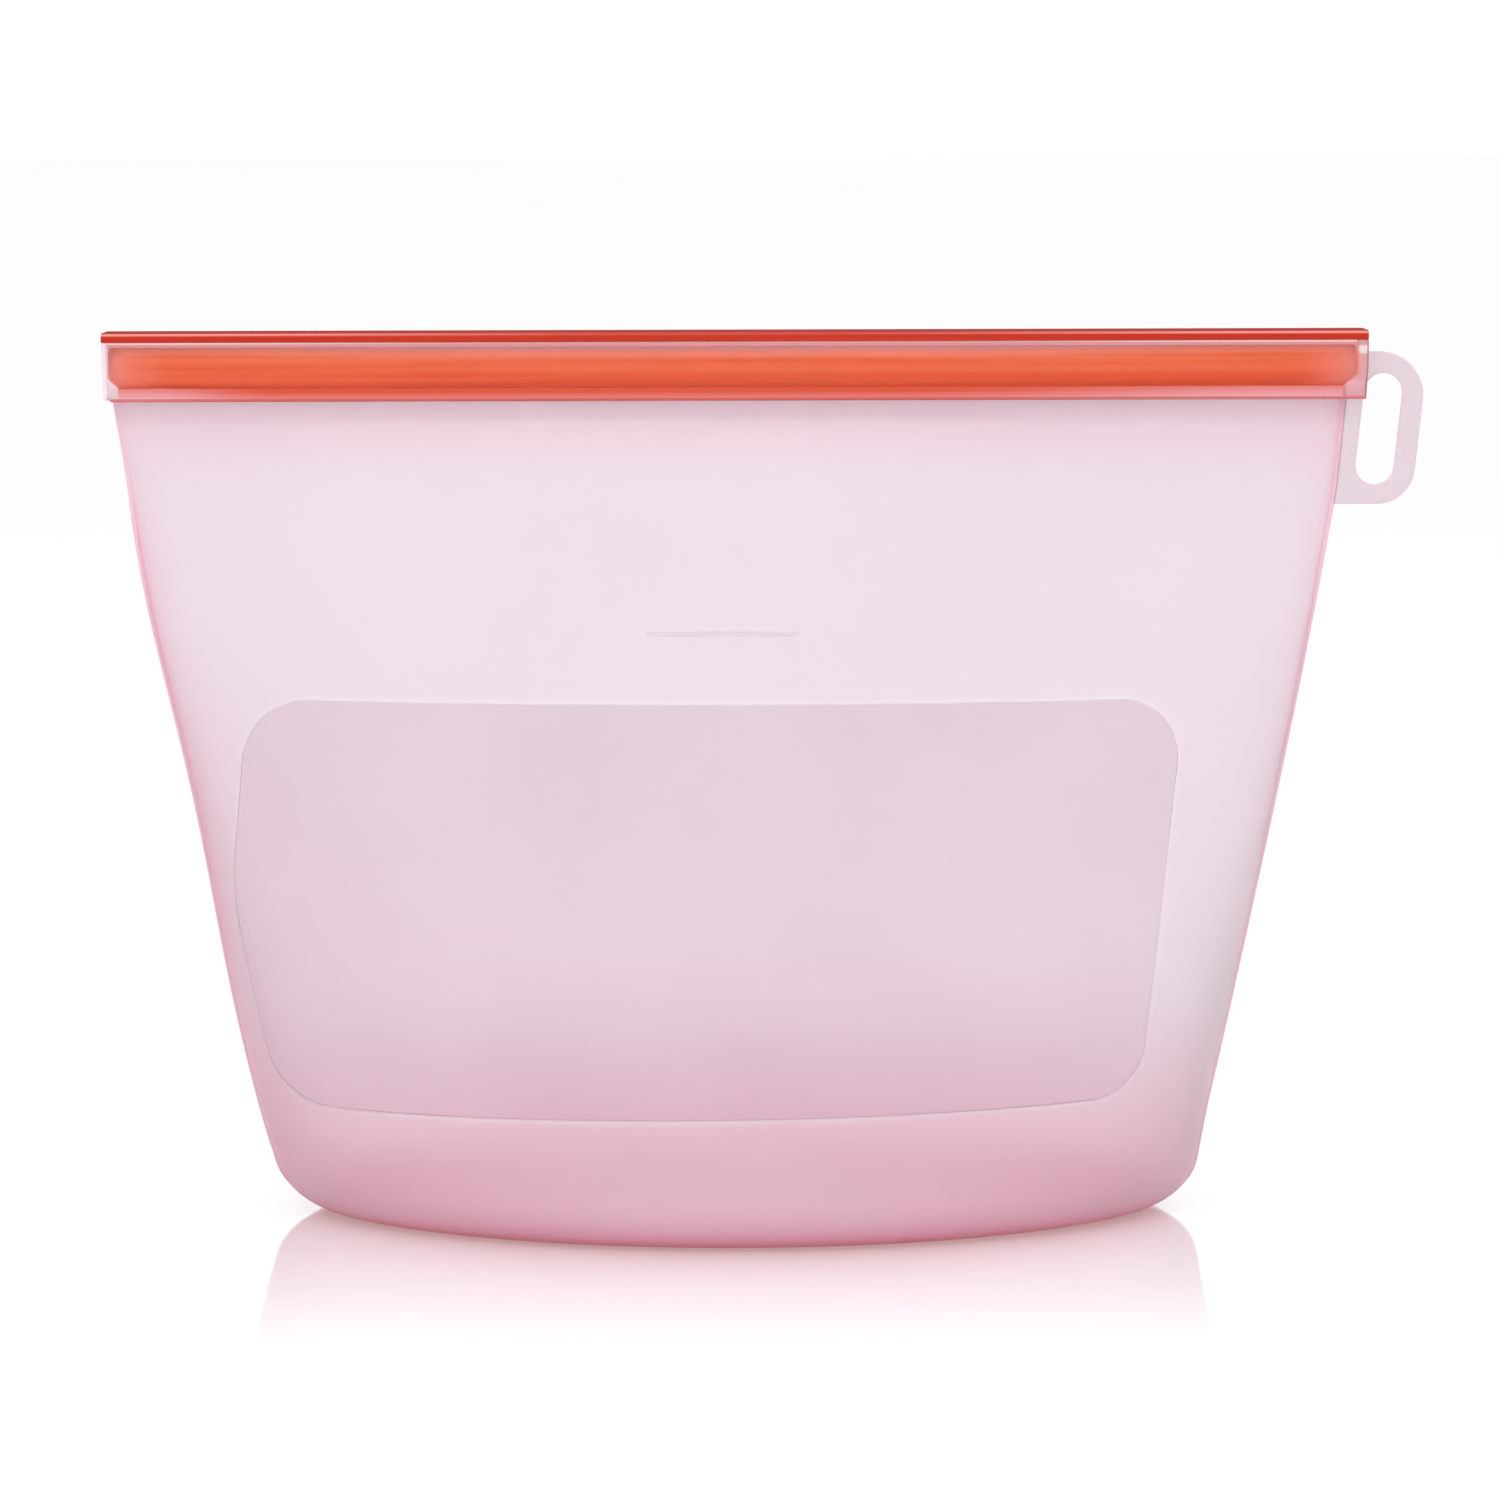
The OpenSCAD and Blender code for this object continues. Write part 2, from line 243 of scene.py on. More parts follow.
def along(points, shares):
    """Points at these shares of the length of an open polyline."""
    step = np.linalg.norm(np.diff(points, axis=0), axis=1)
    reach = np.concatenate([[0], np.cumsum(step)])
    at = np.asarray(shares) * reach[-1]
    return np.stack([np.interp(at, reach, points[:, k]) for k in range(points.shape[1])], axis=-1)


def even(outline, spacing):
    """A closed outline with extra points, so that no step is longer than spacing."""
    points = []
    for a, b in zip(outline, np.roll(outline, -1, axis=0)):
        n = max(1, math.ceil(np.linalg.norm(b - a) / spacing))
        points += [a + (b - a) * k / n for k in range(n)]
    return np.array(points)


def dress(piece, body, slot, *nodes):
    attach(piece, body)
    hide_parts(*nodes)


# ---------------------------------------------------------------- node helpers


class Nodes:
    """A material with one Principled shader, and short names for the nodes around it."""

    def __init__(self, name):
        self.material = bpy.data.materials.new(name)
        self.material.use_nodes = True
        self.tree = self.material.node_tree
        self.shader = self.tree.nodes["Principled BSDF"]
        self.place = self.tree.nodes.new("ShaderNodeTexCoord").outputs["Object"]

    def set(self, **values):
        for key, value in values.items():
            self.shader.inputs[key.replace("_", " ")].default_value = value
        return self

    def link(self, source, target):
        if isinstance(target, str):
            target = self.shader.inputs[target]
        self.tree.links.new(source, target)

    def attribute(self, name):
        node = self.tree.nodes.new("ShaderNodeAttribute")
        node.attribute_name = name
        return node.outputs["Fac"]

    def stretched(self, scale):
        node = self.tree.nodes.new("ShaderNodeMapping")
        node.inputs["Scale"].default_value = scale
        self.link(self.place, node.inputs["Vector"])
        return node.outputs["Vector"]

    def noise(self, scale, detail=3.0, roughness=0.5, place=None):
        node = self.tree.nodes.new("ShaderNodeTexNoise")
        node.inputs["Scale"].default_value = scale
        node.inputs["Detail"].default_value = detail
        node.inputs["Roughness"].default_value = roughness
        self.link(place or self.place, node.inputs["Vector"])
        return node.outputs["Fac"]

    def remap(self, source, low, high, to_low=0.0, to_high=1.0, smooth=True):
        node = self.tree.nodes.new("ShaderNodeMapRange")
        node.interpolation_type = "SMOOTHSTEP" if smooth else "LINEAR"
        self.link(source, node.inputs["Value"])
        for key, value in (("From Min", low), ("From Max", high), ("To Min", to_low), ("To Max", to_high)):
            node.inputs[key].default_value = value
        return node.outputs["Result"]

    def beyond(self, source, edge):
        """1 past a sharp edge, and 0 short of it."""
        return self.remap(source, edge - 0.01 * MM, edge + 0.01 * MM)

    def axis(self, name):
        node = self.tree.nodes.new("ShaderNodeSeparateXYZ")
        self.link(self.place, node.inputs["Vector"])
        return node.outputs[name]

    def maths(self, operation, a, b):
        node = self.tree.nodes.new("ShaderNodeMath")
        node.operation = operation
        for socket, value in zip(node.inputs, (a, b)):
            if isinstance(value, (int, float)):
                socket.default_value = value
            else:
                self.link(value, socket)
        return node.outputs["Value"]

    def mix(self, share, a, b):
        """Colour between a and b; each is a colour or a socket."""
        node = self.tree.nodes.new("ShaderNodeMix")
        node.data_type = "RGBA"
        self.link(share, node.inputs["Factor"])
        for key, value in (("A", a), ("B", b)):
            socket = [s for s in node.inputs if s.name == key and s.type == "RGBA"][0]
            if isinstance(value, tuple):
                socket.default_value = (*value, 1)
            else:
                self.link(value, socket)
        return [s for s in node.outputs if s.type == "RGBA"][0]

    def bump(self, height, strength, distance):
        node = self.tree.nodes.new("ShaderNodeBump")
        node.inputs["Strength"].default_value = strength
        node.inputs["Distance"].default_value = distance
        self.link(height, node.inputs["Height"])
        self.link(node.outputs["Normal"], "Normal")


# ---------------------------------------------------------------- materials


def frosted_silicone(name, pale, deeper, transmission):
    """Milky pink silicone. Its tint runs from -1, white, which is a painted highlight, and 0, pale, to 0.5,
    pink, and 1, rose, where it is thick; the faint pink just under the bar is painted shade."""
    n = Nodes(name).set(IOR=1.41)
    tint = n.attribute("tint")
    base = n.mix(n.remap(n.noise(14, 2), 0.35, 0.65), pale, deeper)
    base = n.mix(n.remap(tint, 0, 0.5, smooth=False), base, (1.0, 0.56, 0.70))
    base = n.mix(n.remap(tint, 0.5, 1, smooth=False), base, (0.82, 0.17, 0.23))
    # Below 0 the tint paints the silicone whiter and more milky: a painted highlight.
    n.link(n.mix(n.remap(tint, 0, -1, smooth=False), base, (1.0, 0.95, 0.97)), "Base Color")
    strength = n.maths("ABSOLUTE", tint, 0.0)
    n.link(n.remap(strength, 0, 1, transmission, 0.4, smooth=False), "Transmission Weight")
    n.link(n.remap(n.noise(60, 4), 0.3, 0.7, 0.36, 0.44), "Roughness")
    n.bump(n.noise(2600, 2, 0.6), 0.25, 0.05 * MM)
    return n.material


def clear_silicone():
    """The polished window: clearer, and smooth enough to mirror."""
    n = Nodes("clear_silicone").set(IOR=1.41, Transmission_Weight=0.97)
    n.link(n.mix(n.remap(n.noise(18, 2), 0.35, 0.65), (0.90, 0.80, 0.86), (0.885, 0.775, 0.84)), "Base Color")
    n.link(n.remap(n.noise(35, 4), 0.35, 0.7, 0.06, 0.13), "Roughness")
    n.bump(n.noise(90, 3), 0.12, 0.3 * MM)
    return n.material


def fused():
    """Where the window runs into the wall: one moulding, so there is nothing to see."""
    material = bpy.data.materials.new("fused")
    material.use_nodes = True
    nodes = material.node_tree.nodes
    nodes.remove(nodes["Principled BSDF"])
    clear = nodes.new("ShaderNodeBsdfTransparent")
    material.node_tree.links.new(clear.outputs["BSDF"], nodes["Material Output"].inputs["Surface"])
    return material


def bead_silicone():
    """Solid orange silicone, pinker along its top and at its thin ends, with faint lines along its length.
    Below the pink top and along its foot the orange is painted lighter, as painted light where the bar shades
    the bead, and its ends are painted lighter too.
    """
    n = Nodes("bead_silicone").set(IOR=1.41, Specular_IOR_Level=0.25)
    lines = n.noise(1.0, 3, 0.55, n.stretched((6, 500, 500)))
    height = n.axis("Z")
    upper = n.mix(n.remap(lines, 0.35, 0.68), (0.88, 0.135, 0.036), (0.95, 0.205, 0.08))
    lower = n.mix(n.remap(lines, 0.3, 0.7), (0.79, 0.085, 0.025), (0.87, 0.13, 0.048))
    orange = n.mix(n.remap(height, bead_lo.z, bead_hi.z), lower, upper)
    # The pink top is thinner towards the ends
    away = n.maths("ABSOLUTE", n.axis("X"), 0.0)
    level = n.maths("SUBTRACT", height, n.remap(away, 0.05, 0.14, 0.0, 0.8 * MM))
    # Painted light: a lighter orange below the pink top, where the milky strip and the spine shade the bead.
    orange = n.mix(n.remap(level, bead_hi.z - 3.6 * MM, bead_hi.z - 1.4 * MM), orange, (1.0, 0.29, 0.20))
    orange = n.mix(n.remap(level, bead_hi.z - 1.7 * MM, bead_hi.z - 0.6 * MM), orange, (0.98, 0.43, 0.43))
    # Painted light: a brighter orange along the bead's foot, where the lips shade it.
    orange = n.mix(n.remap(height, bead_lo.z + 0.6 * MM, bead_lo.z), orange, (0.98, 0.125, 0.05))
    # The tint makes the ends rosy: pinker where the bead is thin, and lighter as painted light against the
    # shade inside the bar.
    n.link(n.mix(n.attribute("tint"), orange, (0.97, 0.34, 0.28)), "Base Color")
    n.link(n.remap(n.noise(300, 3), 0.3, 0.7, 0.35, 0.5), "Roughness")
    n.bump(lines, 0.3, 0.12 * MM)
    return n.material


def lip_glow_tone(n, height, deep):
    """Painted glow: the bar's lips are painted with the bead's colour, as the bead's light through the
    plastic, and with less of it towards the ends.
    """
    low = BAR_Z + 1.5 * MM
    pale = n.mix(n.remap(height, BAR_Z + 3.7 * MM, low), (0.77, 0.18, 0.13), (0.80, 0.335, 0.37))
    full = n.mix(n.remap(height, BAR_Z + 2.3 * MM, low), (0.72, 0.10, 0.045), (0.76, 0.165, 0.14))
    foot = n.remap(height, BAR_Z + 1.25 * MM, BAR_Z + 1.05 * MM)
    return n.mix(deep, n.mix(foot, pale, (0.84, 0.42, 0.45)), n.mix(foot, full, (0.78, 0.22, 0.21)))


def crown_and_highlight_tone(n, height, nearest):
    """The strip under the spine, with a thin painted highlight line at its top that is lighter near the ends.
    """
    # Painted highlight: a light line along the channel's top shoulder, whiter towards the ends.
    line = n.mix(n.remap(nearest, 10 * MM, 100 * MM), (0.95, 0.62, 0.61), (0.76, 0.33, 0.34))
    return n.mix(n.remap(height, BAR_Z + 13.5 * MM, BAR_Z + 13.75 * MM), (0.69, 0.30, 0.313), line)


def end_tone(n, height, x, in_right):
    """The bar's cloudy ends: the left one pale, the sawn right one rosy, with a pale patch above the loop."""
    beside_bead = n.remap(height, BAR_Z + 3.8 * MM, BAR_Z + 4.8 * MM)
    right = n.mix(beside_bead, (0.92, 0.58, 0.63), (0.85, 0.50, 0.515))
    over_loop = n.remap(height, BAR_Z + 10.6 * MM, BAR_Z + 10.9 * MM)
    under_spine = n.remap(height, BAR_Z + 12.9 * MM, BAR_Z + 12.5 * MM)
    right = n.mix(n.maths("MULTIPLY", over_loop, under_spine), right, (0.98, 0.88, 0.88))
    right = n.mix(n.remap(in_right, 1.7 * MM, 2.74 * MM), right, (0.86, 0.33, 0.27))
    return n.mix(n.remap(x, -0.1, 0.1), (0.94, 0.80, 0.86), right)


def clear_plastic():
    """Drawn clear plastic with fine lines along its length. It is milky over its lips and under the spine,
    and cloudy at its ends."""
    n = Nodes("clear_plastic").set(IOR=1.18)
    height, x = n.axis("Z"), n.axis("X")
    from_left = n.maths("SUBTRACT", x, channel_lo.x)
    from_right = n.maths("SUBTRACT", channel_hi.x, x)
    nearest = n.maths("MINIMUM", from_left, from_right)
    deep = n.maths("MINIMUM", n.remap(from_left, 8 * MM, 40 * MM), n.remap(from_right, 8 * MM, 110 * MM))
    # The cloudy ends reach round the bead's lower corners
    low = BAR_Z + 3 * MM
    in_left = n.maths("SUBTRACT", from_left, n.remap(height, BAR_Z + 6 * MM, low, 0.0, 2.4 * MM))
    in_right = n.maths("SUBTRACT", from_right, n.remap(height, BAR_Z + 6.5 * MM, low, 0.0, 3.2 * MM))
    body = n.maths("MINIMUM", n.beyond(in_left, 0.6 * MM), n.beyond(in_right, 2.75 * MM))
    # The painted lip glow reaches over the bead's rounded lower corner and covers the shade there.
    lip_top = n.remap(deep, 0, 1, BAR_Z + 3.2 * MM, BAR_Z + 3.1 * MM)
    lip = n.beyond(n.maths("SUBTRACT", lip_top, height), 0.0)
    crown = n.beyond(height, BAR_Z + 12.95 * MM)
    milky = n.maths("MULTIPLY", n.maths("MAXIMUM", lip, crown), body)
    # The lips take the painted glow of the bead, and the strip under the spine its own tone with a painted
    # highlight line.
    tone = n.mix(crown, lip_glow_tone(n, height, deep), crown_and_highlight_tone(n, height, nearest))
    tone = n.mix(milky, (0.985, 0.95, 0.965), tone)
    tone = n.mix(body, end_tone(n, height, x, in_right), tone)
    # The lower rim and the sawn end are darker
    rim = n.remap(height, BAR_Z + 0.85 * MM, BAR_Z + 0.7 * MM)
    lean = n.remap(height, BAR_Z + LEAN_FROM, BAR_Z + LEAN_TO, 0.0, RIGHT_LEAN)
    cut = n.remap(n.maths("SUBTRACT", from_right, lean), 0.45 * MM, 0.25 * MM)
    tone = n.mix(rim, tone, n.mix(deep, (0.70, 0.21, 0.20), (0.68, 0.145, 0.12)))
    n.link(n.mix(cut, tone, (0.50, 0.19, 0.20)), "Base Color")
    cloudy = n.maths("MAXIMUM", milky, n.remap(body, 0, 1, 0.6, 0.0, smooth=False))
    cloudy = n.maths("MAXIMUM", cloudy, n.maths("MAXIMUM", rim, cut))
    n.link(n.remap(cloudy, 0, 1, 1.0, 0.25, smooth=False), "Transmission Weight")
    lines = n.noise(1.0, 3, 0.6, n.stretched((4, 900, 900)))
    n.link(n.remap(lines, 0.3, 0.75, 0.03, 0.12), "Roughness")
    n.bump(lines, 0.35, 0.08 * MM)
    return n.material


def end_plastic():
    """The bar's closed end: the same plastic, pinched shut while hot and a little cloudy."""
    n = Nodes("end_plastic").set(IOR=1.08, Transmission_Weight=0.3)
    n.link(n.mix(n.noise(300, 3), (0.90, 0.74, 0.81), (0.95, 0.82, 0.88)), "Base Color")
    n.link(n.remap(n.noise(500, 3), 0.3, 0.7, 0.3, 0.45), "Roughness")
    return n.material


def red_plastic():
    """The bar's solid red spine, glossy with fine drawn lines, and with a painted highlight along its round
    shoulders.
    """
    n = Nodes("red_plastic").set(IOR=1.5)
    lines = n.noise(1.0, 3, 0.6, n.stretched((5, 900, 900)))
    red = n.mix(n.remap(lines, 0.35, 0.7), (0.43, 0.014, 0.001), (0.52, 0.031, 0.003))
    height = n.axis("Z")
    away = n.maths("ABSOLUTE", n.axis("X"), 0)
    # Painted highlight: the shoulders are painted lighter near the ends, and barely in the middle.
    shoulder_highlight_colour = n.mix(n.remap(away, 0.02, 0.14), (0.48, 0.045, 0.03), (0.72, 0.21, 0.20))
    shoulder = n.remap(height, SPINE_TOP - 0.85 * MM, SPINE_TOP - 0.5 * MM)
    top = n.remap(height, SPINE_TOP - 0.2 * MM, SPINE_TOP - 0.1 * MM)
    back = n.mix(n.remap(lines, 0.3, 0.7), (0.27, 0.035, 0.028), (0.40, 0.07, 0.06))
    n.link(n.mix(top, n.mix(shoulder, red, shoulder_highlight_colour), back), "Base Color")
    n.link(n.remap(top, 0, 1, 0.28, 0.0), "Specular IOR Level")
    n.link(n.remap(n.noise(120, 3), 0.3, 0.7, 0.12, 0.2), "Roughness")
    n.bump(lines, 0.3, 0.08 * MM)
    return n.material


FROSTED = frosted_silicone("frosted_silicone", (0.98, 0.91, 0.95), (0.97, 0.895, 0.94), 0.88)
TAB = frosted_silicone("tab_silicone", (0.83, 0.71, 0.77), (0.81, 0.69, 0.75), 0.8)
SEAM = frosted_silicone("seam_silicone", (0.88, 0.55, 0.64), (0.86, 0.52, 0.61), 0.35)
CLEAR, FUSED = clear_silicone(), fused()
BEAD, CHANNEL, END, SPINE = bead_silicone(), clear_plastic(), end_plastic(), red_plastic()

# ---------------------------------------------------------------- window loop on the front wall

COLS = 112                            # steps across a wall, from seam to seam
ROWS = 84                             # steps up a wall
WINDOW_STEP = 0.2 * MM
# The corners in X and height, from the lower right round by the top. The left side is bowed by the full wall
WINDOW_CORNERS = [
    (96.2 * MM, 32.8 * MM),
    (107.3 * MM, window_hi.z),
    (-116.3 * MM, window_hi.z),
    (-120.5 * MM, 79.7 * MM),
    (-108.8 * MM, 30.2 * MM),
]
WINDOW_RADII = [14 * MM, 14 * MM, 17 * MM, 60 * MM, 17 * MM]

T_STEPS = np.linspace(0, math.pi, COLS + 1)
W_SHARES = np.linspace(0, 1, ROWS + 1)
W_STEPS = (W_SHARES - 0.035 * np.sin(2 * math.pi * W_SHARES)) * SKIN_H


def window_sides(counts):
    """The window's right, top, left and bottom sides in skin coordinates, each from the middle of one corner
    to the next. counts has the number of points of each."""
    steps = 16                            # to a corner
    outline = rounded_outline(WINDOW_CORNERS, WINDOW_RADII, steps)
    # Corner 3 is the left side's bow, and no side starts there
    middles = [k * (steps + 1) + steps // 2 for k in (0, 1, 2, 4)]
    sides = []
    for k, count in enumerate(counts):
        a, b = middles[k], middles[(k + 1) % 4]
        part = outline[a : b + 1] if b > a else np.concatenate([outline[a:], outline[: b + 1]])
        sides.append(to_skin(along(part, np.linspace(0, 1, count))))
    return sides


EDGE_SIDES = [
    np.stack([np.zeros(ROWS + 1), W_STEPS], -1),
    np.stack([T_STEPS, np.full(COLS + 1, SKIN_H)], -1),
    np.stack([np.full(ROWS + 1, math.pi), W_STEPS[::-1]], -1),
    np.stack([T_STEPS[::-1], np.zeros(COLS + 1)], -1),
]
WINDOW_SIDES = window_sides([len(side) for side in EDGE_SIDES])
WINDOW_RING = np.concatenate([side[:-1] for side in WINDOW_SIDES])
EDGE_RING = np.concatenate([side[:-1] for side in EDGE_SIDES])

# ---------------------------------------------------------------- pouch body


def rosy_and_shade_tint(w, t):
    """How rosy the silicone looks: at its foot, towards the seams, and where the walls close, with a darker
    pink just under the bar that is painted shade of the bar.
    """
    edge = 0.8 * (1 - smooth(w / (15 * MM))) ** 1.2
    foot = 0.30 * np.clip(1 - (w - 6 * MM) / (54 * MM), 0, 1) ** 1.4
    right, left = np.clip(np.cos(t), 0, 1), np.clip(-np.cos(t), 0, 1)
    seam = 0.55 * right * np.exp(-18 * np.sin(t)) + 0.05 * right * np.exp(-5 * np.sin(t))
    seam = seam + 0.65 * left * (1 - 0.75 * smooth((w - 165 * MM) / (28 * MM))) * np.exp(-11 * np.sin(t))
    # Painted shade: the walls just under the bar are painted pinker and darker.
    mouth = 0.08 * smooth((w - SKIN_H + 26 * MM) / (24 * MM))
    rosy_left = 0.3 * np.exp(-4 * np.sin(t)) * left * (1 - smooth((w - 55 * MM) / (110 * MM)))
    return np.clip(edge + foot + seam + mouth + rosy_left, 0, 1)


def nose_strip(side, w):
    """Round ridge of a side seam, from the front skin's edge to the back's."""
    sign = 1 if side == "right" else -1
    edge = skin(0.0 if side == "right" else math.pi, w, 0.0, 1)
    out = SEAM_NOSE * np.sin(np.clip(w / ARC, 0, 1) * math.pi / 2)
    strip = []
    for a in np.linspace(-math.pi / 2, math.pi / 2, 9):
        p = edge.copy()
        p[:, 0] += sign * out * math.cos(a)
        p[:, 1] = WALL * math.sin(a)
        strip.append(p)
    return np.stack(strip, axis=1)


def front_rings():
    """Rings from the window's edge to the wall's edge, with each one's distance from the window."""
    window = skin(WINDOW_RING[:, 0], WINDOW_RING[:, 1], 0.0, -1)
    edge = skin(EDGE_RING[:, 0], EDGE_RING[:, 1], 0.0, -1)
    reach = np.linalg.norm(edge - window, axis=1)
    near = np.array([0, 0.07, 0.14, 0.22, 0.32, 0.44, 0.58, 0.75, 1.0, 1.4, 2.0]) * MM
    rings = []
    for d in near:
        s = d / reach
        rings.append((WINDOW_RING + (EDGE_RING - WINDOW_RING) * s[:, None], d))
    start = rings[-1][0]
    for s in np.linspace(0, 1, 46)[1:]:
        rings.append((start + (EDGE_RING - start) * s, near[-1] + s))
    return rings


def flatter(t):
    """The lip beside the window is lower along its upright sides."""
    return 1 - 0.6 * smooth((np.abs(np.cos(t)) - 0.68) / 0.14)


def step_depth(d, t):
    """Depth of the frosted wall's face near the window: a soft step, with a low lip beside it."""
    step = WINDOW_STEP * (1 - smooth(d / (0.4 * MM)))
    lip = 0.09 * MM * math.exp(-(((d - 0.8 * MM) / (0.45 * MM)) ** 2))
    return step - lip * flatter(t)


def window_rim_painted_highlight(d, t):
    """Painted highlight: the lip beside the window is polished by the mould, and the light it catches is
    painted into its colour as white.
    """
    return 0.4 * math.exp(-(((d - 0.5 * MM) / (0.4 * MM)) ** 2)) * flatter(t)


def pouch_body():
    b = Builder()
    rings = front_rings()
    depths = [step_depth(d, r[:, 0]) for r, d in rings]
    outer, inner = [], []
    for (r, _), depth in zip(rings, depths):
        outer.append(skin(r[:, 0], r[:, 1], depth, -1))
        inner.append(skin(r[:, 0], r[:, 1], WALL - np.maximum(depth, 0), -1))
    outer, inner = np.array(outer), np.array(inner)
    # The tint is rosy where the silicone is thick, with the painted highlight beside the window taken off it.
    tint = np.array([rosy_and_shade_tint(r[:, 1], r[:, 0]) - window_rim_painted_highlight(d, r[:, 0]) for r, d in rings])
    b.grid(outer, wrap=True, tint=tint)
    b.grid(inner, wrap=True, tint=tint)
    b.grid(np.array([outer[0], inner[0]]), wrap=True, number=1)
    t, w = np.meshgrid(T_STEPS, W_STEPS)
    b.grid(skin(t, w, 0.0, 1), tint=rosy_and_shade_tint(w, t))
    b.grid(skin(t, w, WALL, 1), tint=rosy_and_shade_tint(w, t))
    for side in ("right", "left"):
        strip = nose_strip(side, W_STEPS)
        low = 1 - smooth(W_STEPS / (13 * MM))
        b.grid(strip, tint=np.repeat(0.5 * low, strip.shape[1]), number=2)
    # Base, outside and inside
    back_out, front_out = skin(T_STEPS, 0.0, 0.0, 1), skin(T_STEPS[::-1], 0.0, 0.0, -1)
    ends = [nose_strip(side, np.array([0.0]))[0] for side in ("right", "left")]
    ring = np.concatenate([ends[0], back_out[1:-1], ends[1][::-1], front_out[1:-1]])
    centre = ring.mean(axis=0)
    b.fan(ring, centre * (1, 0, 1), tint=np.linspace(0.75, 0.3, 12))
    back_in, front_in = skin(T_STEPS, 0.0, WALL, 1), skin(T_STEPS[::-1], 0.0, WALL, -1)
    ring = np.concatenate([back_in[:-1], front_in[:-1]])
    b.fan(ring, centre * (1, 0, 0) + (0, 0, WALL), tint=np.linspace(0.6, 0.1, 12))
    # Top edge, under the beads
    for sign in (1, -1):
        top_out, top_in = skin(T_STEPS, SKIN_H, 0.0, sign), skin(T_STEPS, SKIN_H, WALL, sign)
        b.grid(np.array([top_out, top_in]))
    for side, t_end in (("right", 0.0), ("left", math.pi)):
        strip = nose_strip(side, np.array([SKIN_H]))[0]
        corner = skin(t_end, SKIN_H, WALL, 1)
        b.grid(np.array([strip, np.repeat(corner[None], len(strip), 0)]))
    return b.build("pouch_body", [FROSTED, FUSED, SEAM])


def window_pane():
    """Clear pane of the front wall, stepped down on both faces: a patch between the window's four sides."""
    b = Builder()
    right, top, left, bottom = WINDOW_SIDES
    u = np.linspace(0, 1, COLS + 1)[None, :, None]
    v = np.linspace(0, 1, ROWS + 1)[:, None, None]
    low, high = bottom[::-1][None], top[None]
    near, far = right[:, None], left[::-1][:, None]
    patch = (1 - v) * low + v * high + (1 - u) * near + u * far
    patch -= (1 - u) * (1 - v) * right[0] + u * (1 - v) * left[-1]
    patch -= (1 - u) * v * right[-1] + u * v * left[0]
    outer = skin(patch[..., 0], patch[..., 1], WINDOW_STEP, -1)
    inner = skin(patch[..., 0], patch[..., 1], WALL - WINDOW_STEP, -1)
    b.grid(outer)
    b.grid(inner)
    rims = [np.concatenate([g[:-1, 0], g[-1, :-1], g[:0:-1, -1], g[0, :0:-1]]) for g in (outer, inner)]
    b.grid(np.array(rims), wrap=True, number=1)
    return b.build("window_pane", [CLEAR, FUSED])


def fill_line():
    """Low rounded ridge across the front wall."""
    mid = (mark_lo.x + mark_hi.x) / 2 - 0.9 * MM
    half_l, half_h = (mark_hi.x - mark_lo.x) / 2, (mark_hi.z - mark_lo.z) / 2
    z0 = (mark_lo.z + mark_hi.z) / 2
    shares = np.sin(np.linspace(-math.pi / 2, math.pi / 2, 61))
    # Full width along the middle, round at both ends
    into_end = np.clip((np.abs(shares) * half_l - half_l + half_h) / half_h, 0, 1)
    size = np.sqrt(np.clip(1 - into_end**2, 0, 1))
    angles = np.linspace(0, math.pi, 13)
    x = mid + half_l * shares[:, None] + 0 * angles[None]
    z = z0 + half_h * size[:, None] * np.cos(angles)[None]
    proud = 0.4 * MM * size[:, None] * np.sin(angles)[None]
    place = to_skin(np.stack([x, z], -1))
    b = Builder()
    b.grid(skin(place[..., 0], place[..., 1], -proud, -1), tint=0.05)
    b.grid(skin(place[..., 0], place[..., 1], 0.0, -1), number=1)
    return b.build("fill_line", [FROSTED, FUSED], 70)


# ---------------------------------------------------------------- mouth beads


def corner_rise(e, r):
    """How far a rounded corner of radius r stands off at a distance e from the end."""
    return r - math.sqrt(max(r**2 - max(r - e, 0) ** 2, 0))


